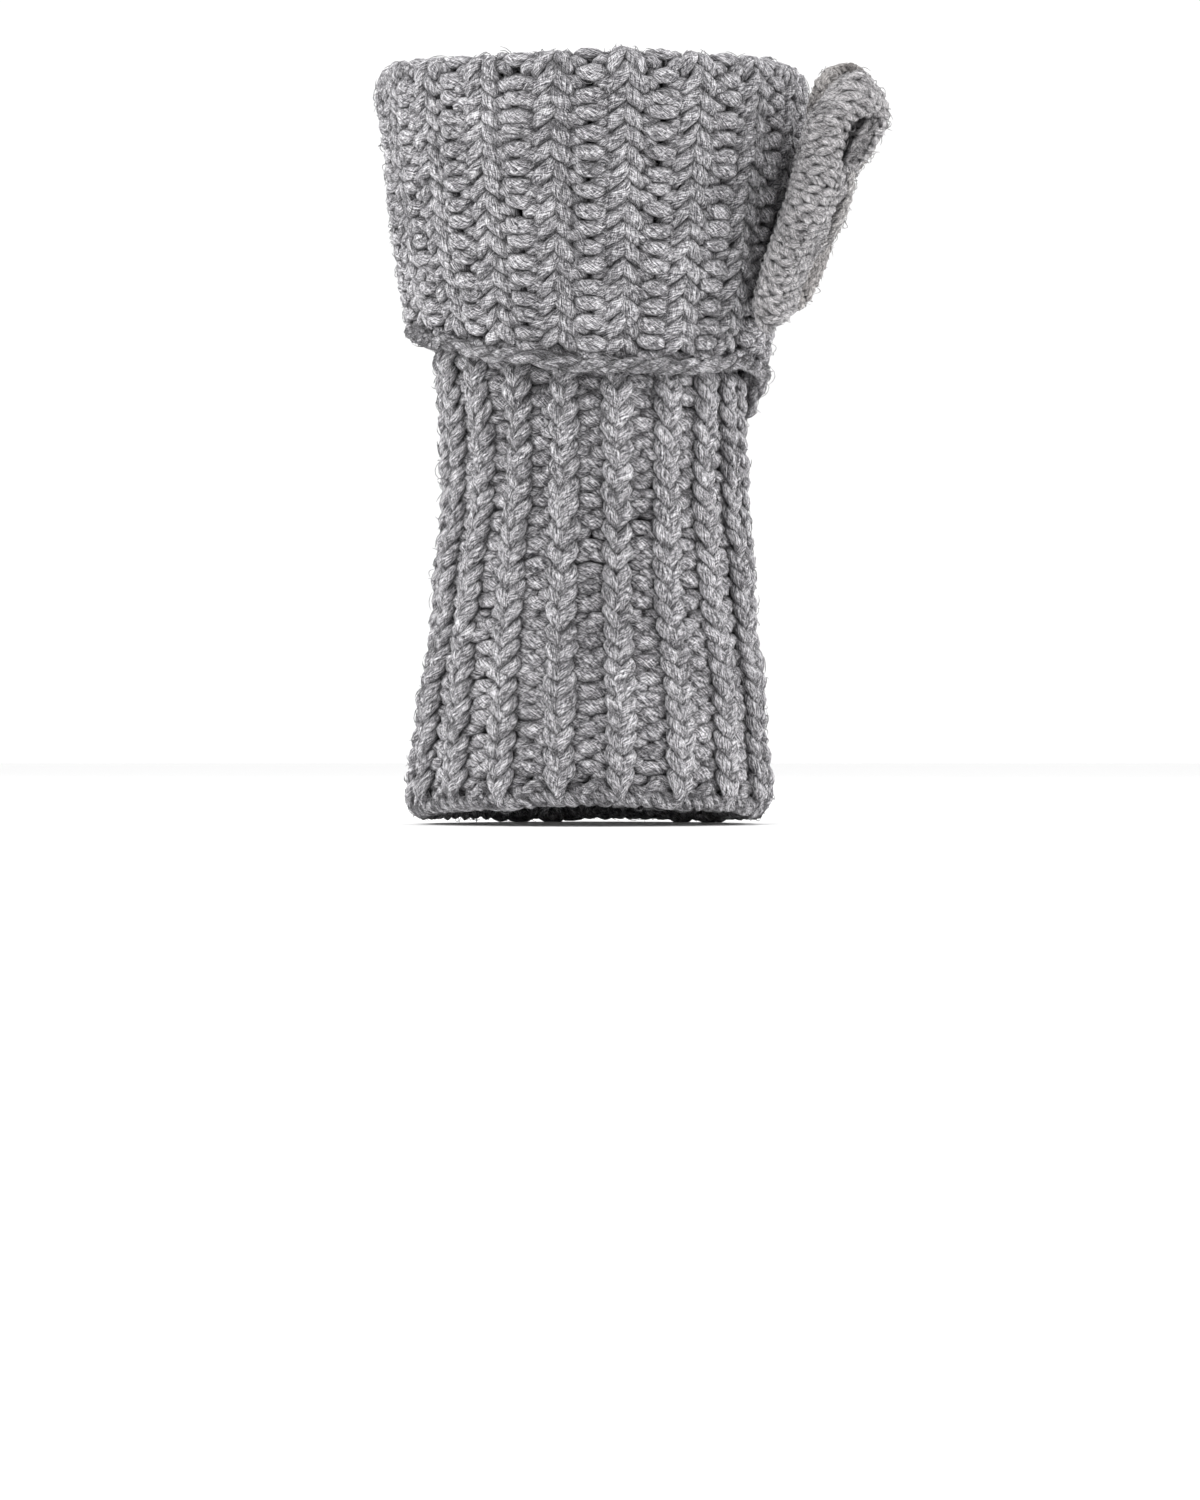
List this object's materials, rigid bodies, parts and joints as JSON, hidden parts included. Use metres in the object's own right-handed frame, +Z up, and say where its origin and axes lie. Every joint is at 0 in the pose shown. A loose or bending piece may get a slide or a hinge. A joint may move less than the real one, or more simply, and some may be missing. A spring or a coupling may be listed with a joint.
{
  "type": "knitted boot cuff",
  "caption": "Chunky rib-knit boot cuff: a tube for the lower leg with a fold-over top that turns up, and a knitted bow sewn to the side of the fold-over.",
  "frame": {"origin": "in the plane of the bottom edge, under the middle of the whole object; the leg tube's own axis is the vertical line at x = -11.3 mm", "axes": "+Z up the leg; +X towards the side that carries the bow; -Y the front, +Y the back seam"},
  "size_m": [0.1396, 0.1182, 0.2068],
  "materials": {
    "rib_knit": "heathered chunky wool-blend rib knit, matte, slightly fuzzy",
    "edge_knit": "the same yarn, drawn tight along an edge or a seam",
    "bow_knit": "finer plain knit, brushed, low contrast",
    "sewing_yarn": "matching sewing yarn"
  },
  "bodies": {
    "leg": {"leg_tube": "rib_knit", "cast_on_edge": "edge_knit", "fold_roll": "rib_knit", "back_seam": "edge_knit", "woven_in_yarn_end": "rib_knit"},
    "cuff_panel_01": {"cuff_rib_01": "rib_knit", "tack_stitch_upper": "sewing_yarn", "tack_stitch_lower": "sewing_yarn"},
    "cuff_panel_02": {"cuff_rib_02": "rib_knit"},
    "cuff_panel_03": {"cuff_rib_03": "rib_knit"},
    "cuff_panel_04": {"cuff_rib_04": "rib_knit"},
    "cuff_panel_05": {"cuff_rib_05": "rib_knit"},
    "cuff_panel_06": {"cuff_rib_06": "rib_knit"},
    "cuff_panel_07": {"cuff_rib_07": "rib_knit"},
    "cuff_panel_08": {"cuff_rib_08": "rib_knit"},
    "cuff_panel_09": {"cuff_rib_09": "rib_knit"},
    "cuff_panel_10": {"cuff_rib_10": "rib_knit"},
    "cuff_panel_11": {"cuff_rib_11": "rib_knit"},
    "cuff_panel_12": {"cuff_rib_12": "rib_knit"},
    "cuff_panel_13": {"cuff_rib_13": "rib_knit"},
    "cuff_panel_14": {"cuff_rib_14": "rib_knit"},
    "cuff_panel_15": {"cuff_rib_15": "rib_knit"},
    "cuff_panel_16": {"cuff_rib_16": "rib_knit"},
    "cuff_panel_17": {"cuff_rib_17": "rib_knit"},
    "cuff_panel_18": {"cuff_rib_18": "rib_knit"},
    "bow_knot": {"bow_gathered_middle": "bow_knit", "bow_knot_wrap": "bow_knit", "wrap_closing_stitches": "sewing_yarn"},
    "bow_front": {"bow_front_loop": "bow_knit"},
    "bow_rear": {"bow_rear_loop": "bow_knit"}
  },
  "joints": [
    {"name": "cuff_turn_up", "type": "hinge", "parent": "leg", "child": "cuff_panel_01", "pos_m": [0.0442, 0, 0.195], "axis": [0, -1, 0], "range_deg": [0, 195.2], "stiffness_Nm_per_rad": 0.04},
    {"name": "cuff_turn_up_02", "type": "hinge", "parent": "leg", "child": "cuff_panel_02", "pos_m": [0.04085, 0.01898, 0.195], "axis": [0.342, -0.9397, 0], "range_deg": [0, 195.2], "stiffness_Nm_per_rad": 0.04},
    {"name": "cuff_turn_up_03", "type": "hinge", "parent": "leg", "child": "cuff_panel_03", "pos_m": [0.03121, 0.03567, 0.195], "axis": [0.6428, -0.766, 0], "range_deg": [0, 195.2], "stiffness_Nm_per_rad": 0.04},
    {"name": "cuff_turn_up_04", "type": "hinge", "parent": "leg", "child": "cuff_panel_04", "pos_m": [0.01645, 0.04806, 0.195], "axis": [0.866, -0.5, 0], "range_deg": [0, 195.2], "stiffness_Nm_per_rad": 0.04},
    {"name": "cuff_turn_up_05", "type": "hinge", "parent": "leg", "child": "cuff_panel_05", "pos_m": [-0.00166, 0.05466, 0.195], "axis": [0.9848, -0.1736, 0], "range_deg": [0, 195.2], "stiffness_Nm_per_rad": 0.04},
    {"name": "cuff_turn_up_06", "type": "hinge", "parent": "leg", "child": "cuff_panel_06", "pos_m": [-0.02094, 0.05466, 0.195], "axis": [0.9848, 0.1736, 0], "range_deg": [0, 195.2], "stiffness_Nm_per_rad": 0.04},
    {"name": "cuff_turn_up_07", "type": "hinge", "parent": "leg", "child": "cuff_panel_07", "pos_m": [-0.03905, 0.04806, 0.195], "axis": [0.866, 0.5, 0], "range_deg": [0, 195.2], "stiffness_Nm_per_rad": 0.04},
    {"name": "cuff_turn_up_08", "type": "hinge", "parent": "leg", "child": "cuff_panel_08", "pos_m": [-0.05382, 0.03567, 0.195], "axis": [0.6428, 0.766, 0], "range_deg": [0, 195.2], "stiffness_Nm_per_rad": 0.04},
    {"name": "cuff_turn_up_09", "type": "hinge", "parent": "leg", "child": "cuff_panel_09", "pos_m": [-0.06345, 0.01898, 0.195], "axis": [0.342, 0.9397, 0], "range_deg": [0, 195.2], "stiffness_Nm_per_rad": 0.04},
    {"name": "cuff_turn_up_10", "type": "hinge", "parent": "leg", "child": "cuff_panel_10", "pos_m": [-0.0668, 0, 0.195], "axis": [0, 1, 0], "range_deg": [0, 195.2], "stiffness_Nm_per_rad": 0.04},
    {"name": "cuff_turn_up_11", "type": "hinge", "parent": "leg", "child": "cuff_panel_11", "pos_m": [-0.06345, -0.01898, 0.195], "axis": [-0.342, 0.9397, 0], "range_deg": [0, 195.2], "stiffness_Nm_per_rad": 0.04},
    {"name": "cuff_turn_up_12", "type": "hinge", "parent": "leg", "child": "cuff_panel_12", "pos_m": [-0.05382, -0.03567, 0.195], "axis": [-0.6428, 0.766, 0], "range_deg": [0, 195.2], "stiffness_Nm_per_rad": 0.04},
    {"name": "cuff_turn_up_13", "type": "hinge", "parent": "leg", "child": "cuff_panel_13", "pos_m": [-0.03905, -0.04806, 0.195], "axis": [-0.866, 0.5, 0], "range_deg": [0, 195.2], "stiffness_Nm_per_rad": 0.04},
    {"name": "cuff_turn_up_14", "type": "hinge", "parent": "leg", "child": "cuff_panel_14", "pos_m": [-0.02094, -0.05466, 0.195], "axis": [-0.9848, 0.1736, 0], "range_deg": [0, 195.2], "stiffness_Nm_per_rad": 0.04},
    {"name": "cuff_turn_up_15", "type": "hinge", "parent": "leg", "child": "cuff_panel_15", "pos_m": [-0.00166, -0.05466, 0.195], "axis": [-0.9848, -0.1736, 0], "range_deg": [0, 195.2], "stiffness_Nm_per_rad": 0.04},
    {"name": "cuff_turn_up_16", "type": "hinge", "parent": "leg", "child": "cuff_panel_16", "pos_m": [0.01645, -0.04806, 0.195], "axis": [-0.866, -0.5, 0], "range_deg": [0, 195.2], "stiffness_Nm_per_rad": 0.04},
    {"name": "cuff_turn_up_17", "type": "hinge", "parent": "leg", "child": "cuff_panel_17", "pos_m": [0.03121, -0.03567, 0.195], "axis": [-0.6428, -0.766, 0], "range_deg": [0, 195.2], "stiffness_Nm_per_rad": 0.04},
    {"name": "cuff_turn_up_18", "type": "hinge", "parent": "leg", "child": "cuff_panel_18", "pos_m": [0.04085, -0.01898, 0.195], "axis": [-0.342, -0.9397, 0], "range_deg": [0, 195.2], "stiffness_Nm_per_rad": 0.04},
    {"name": "bow_swivel", "type": "hinge", "parent": "cuff_panel_01", "child": "bow_knot", "pos_m": [0.0541, 0, 0.168], "axis": [0.9912, 0, -0.1326], "range_deg": [-4, 4], "stiffness_Nm_per_rad": 0.05},
    {"name": "bow_front_flex", "type": "hinge", "parent": "bow_knot", "child": "bow_front", "pos_m": [0.05376, -0.00792, 0.16694], "axis": [0.306, -0.1392, 0.9418], "range_deg": [0, 56.61], "stiffness_Nm_per_rad": 0.01},
    {"name": "bow_rear_flex", "type": "hinge", "parent": "bow_knot", "child": "bow_rear", "pos_m": [0.05444, 0.00792, 0.16906], "axis": [-0.306, 0.1392, -0.9418], "range_deg": [0, 54.66], "stiffness_Nm_per_rad": 0.01}
  ],
  "couplings": [
    {"joint": "cuff_turn_up_02", "follows": "cuff_turn_up", "ratio": 1},
    {"joint": "cuff_turn_up_03", "follows": "cuff_turn_up", "ratio": 1},
    {"joint": "cuff_turn_up_04", "follows": "cuff_turn_up", "ratio": 1},
    {"joint": "cuff_turn_up_05", "follows": "cuff_turn_up", "ratio": 1},
    {"joint": "cuff_turn_up_06", "follows": "cuff_turn_up", "ratio": 1},
    {"joint": "cuff_turn_up_07", "follows": "cuff_turn_up", "ratio": 1},
    {"joint": "cuff_turn_up_08", "follows": "cuff_turn_up", "ratio": 1},
    {"joint": "cuff_turn_up_09", "follows": "cuff_turn_up", "ratio": 1},
    {"joint": "cuff_turn_up_10", "follows": "cuff_turn_up", "ratio": 1},
    {"joint": "cuff_turn_up_11", "follows": "cuff_turn_up", "ratio": 1},
    {"joint": "cuff_turn_up_12", "follows": "cuff_turn_up", "ratio": 1},
    {"joint": "cuff_turn_up_13", "follows": "cuff_turn_up", "ratio": 1},
    {"joint": "cuff_turn_up_14", "follows": "cuff_turn_up", "ratio": 1},
    {"joint": "cuff_turn_up_15", "follows": "cuff_turn_up", "ratio": 1},
    {"joint": "cuff_turn_up_16", "follows": "cuff_turn_up", "ratio": 1},
    {"joint": "cuff_turn_up_17", "follows": "cuff_turn_up", "ratio": 1},
    {"joint": "cuff_turn_up_18", "follows": "cuff_turn_up", "ratio": 1},
    {"joint": "bow_front_flex", "follows": "cuff_turn_up", "ratio": 0.29},
    {"joint": "bow_rear_flex", "follows": "cuff_turn_up", "ratio": 0.28}
  ]
}
